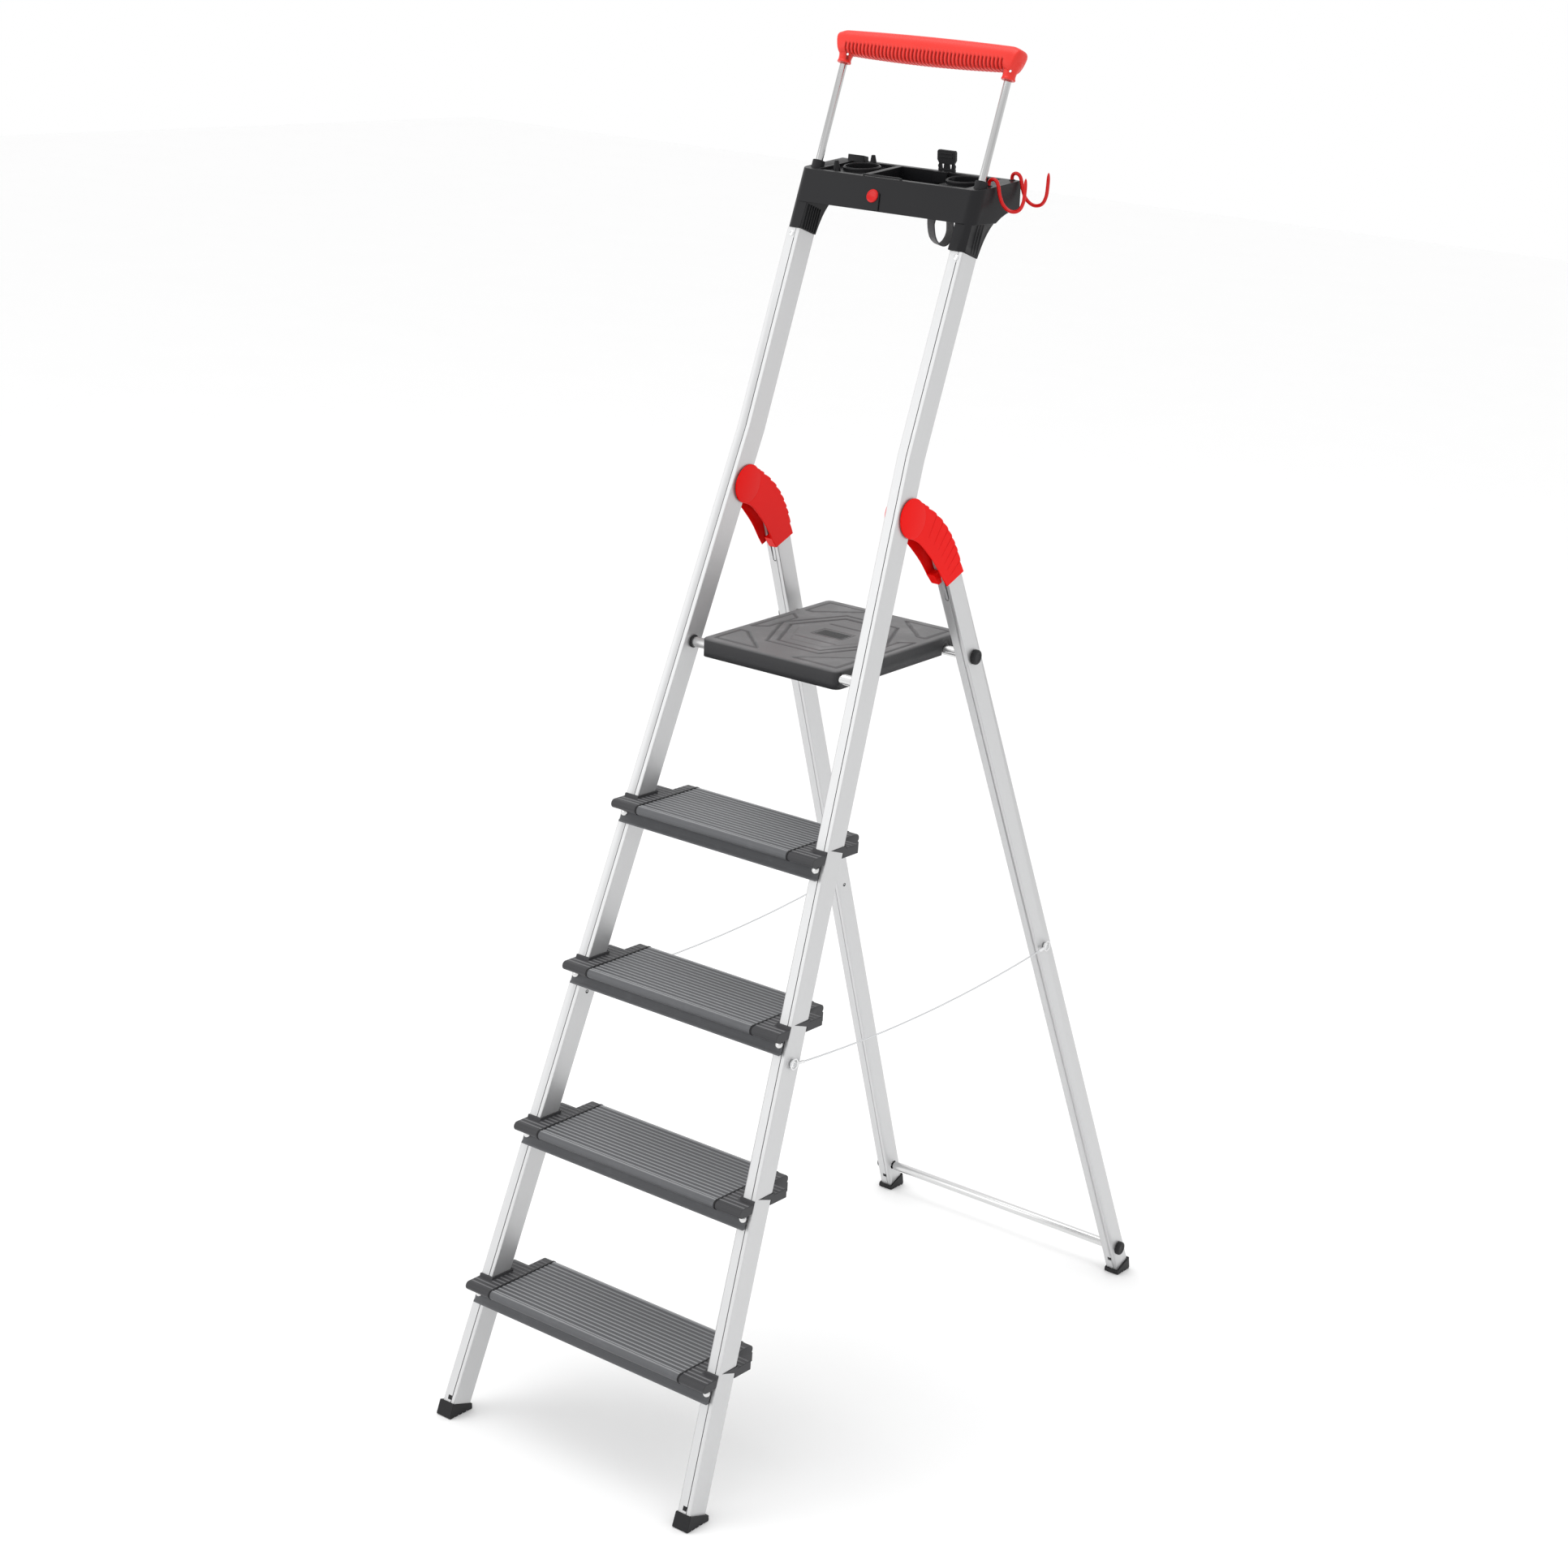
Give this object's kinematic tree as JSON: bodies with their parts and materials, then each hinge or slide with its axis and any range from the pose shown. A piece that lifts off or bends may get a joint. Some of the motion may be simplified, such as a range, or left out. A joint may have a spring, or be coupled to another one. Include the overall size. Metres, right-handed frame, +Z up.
{
  "type": "step ladder",
  "caption": "Folding aluminium step ladder with ribbed treads, fold-up platform, tool tray with hooks, pull-up hand rail and hinged rear frame.",
  "frame": {"origin": "on the floor, at the middle of the open ladder's footprint", "axes": "+Z up, +Y from the climbing side towards the rear legs, +X to the climber's right"},
  "size_m": [0.447, 1.0338, 1.7896],
  "materials": {
    "aluminium_profile": "satin anodised extrusion",
    "aluminium_tube": "bright drawn tube",
    "tread_aluminium": "dark coated ribbed extrusion",
    "black_plastic": "moulded",
    "tray_plastic": "fine spark-eroded grain",
    "platform_plastic": "satin with embossed grip pattern",
    "red_plastic": "satin moulded",
    "grip_plastic": "satin moulded",
    "red_gloss": "glossy coating",
    "steel": "bright zinc and drawn steel",
    "webbing": "woven webbing"
  },
  "bodies": {
    "front": {"stile_left": "aluminium_profile", "foot_front_left": "black_plastic", "tube_bush_left": "black_plastic", "rod_collar_left": "black_plastic", "wire_screw_front_left": "steel", "safety_wire_left": "steel", "stile_right": "aluminium_profile", "foot_front_right": "black_plastic", "tube_bush_right": "black_plastic", "rod_collar_right": "black_plastic", "wire_screw_front_right": "steel", "safety_wire_right": "steel", "tread_1": "tread_aluminium", "tread_cap_1_left": "black_plastic", "rivet_1_left": "aluminium_tube", "tread_cap_1_right": "black_plastic", "rivet_1_right": "aluminium_tube", "tread_2": "tread_aluminium", "tread_cap_2_left": "black_plastic", "rivet_2_left": "aluminium_tube", "tread_cap_2_right": "black_plastic", "rivet_2_right": "aluminium_tube", "tread_3": "tread_aluminium", "tread_cap_3_left": "black_plastic", "rivet_3_left": "aluminium_tube", "tread_cap_3_right": "black_plastic", "rivet_3_right": "aluminium_tube", "tread_4": "tread_aluminium", "tread_cap_4_left": "black_plastic", "rivet_4_left": "aluminium_tube", "tread_cap_4_right": "black_plastic", "rivet_4_right": "aluminium_tube", "platform_tube": "aluminium_tube", "tray": "tray_plastic", "tray_badge": "red_gloss", "strap": "webbing", "strap_buckle": "black_plastic"},
    "rear": {"rear_leg_left": "aluminium_profile", "hinge_cover_left": "red_plastic", "hinge_pin_left": "steel", "foot_rear_left": "black_plastic", "tube_cap_left": "black_plastic", "brace_cap_left": "black_plastic", "wire_screw_rear_left": "steel", "rear_leg_right": "aluminium_profile", "hinge_cover_right": "red_plastic", "hinge_pin_right": "steel", "foot_rear_right": "black_plastic", "tube_cap_right": "black_plastic", "brace_cap_right": "black_plastic", "wire_screw_rear_right": "steel", "rear_tube": "aluminium_tube", "brace_tube": "aluminium_tube"},
    "platform": {"platform": "platform_plastic"},
    "rail": {"handle_grip": "grip_plastic", "rod_left": "steel", "rod_right": "steel"},
    "hook_near": {"hook_1": "red_gloss"},
    "hook_far": {"hook_2": "red_gloss"}
  },
  "joints": [
    {"name": "rear_fold", "type": "hinge", "parent": "front", "child": "rear", "pos_m": [0, -0.08482, 1.21551], "axis": [1, 0, 0], "range_deg": [-41, 0], "deforming": ["safety_wire_left", "safety_wire_right"]},
    {"name": "platform_fold", "type": "hinge", "parent": "front", "child": "platform", "pos_m": [0, -0.16061, 1.0155], "axis": [1, 0, 0], "range_deg": [0, 69.7]},
    {"name": "rail_slide", "type": "slide", "parent": "front", "child": "rail", "axis": [0, 0.3145, 0.9493], "range_m": [-0.12, 0]},
    {"name": "hook_near_swivel", "type": "hinge", "parent": "front", "child": "hook_near", "pos_m": [0.1305, 0.05302, 1.61826], "axis": [0, -0.0993, 0.9951], "range_deg": [-20, 20]},
    {"name": "hook_far_swivel", "type": "hinge", "parent": "front", "child": "hook_far", "pos_m": [0.1305, 0.10377, 1.62333], "axis": [0, -0.0993, 0.9951], "range_deg": [-20, 20]}
  ],
  "couplings": [
    {"joint": "platform_fold", "follows": "rear_fold", "ratio": -1.7}
  ]
}
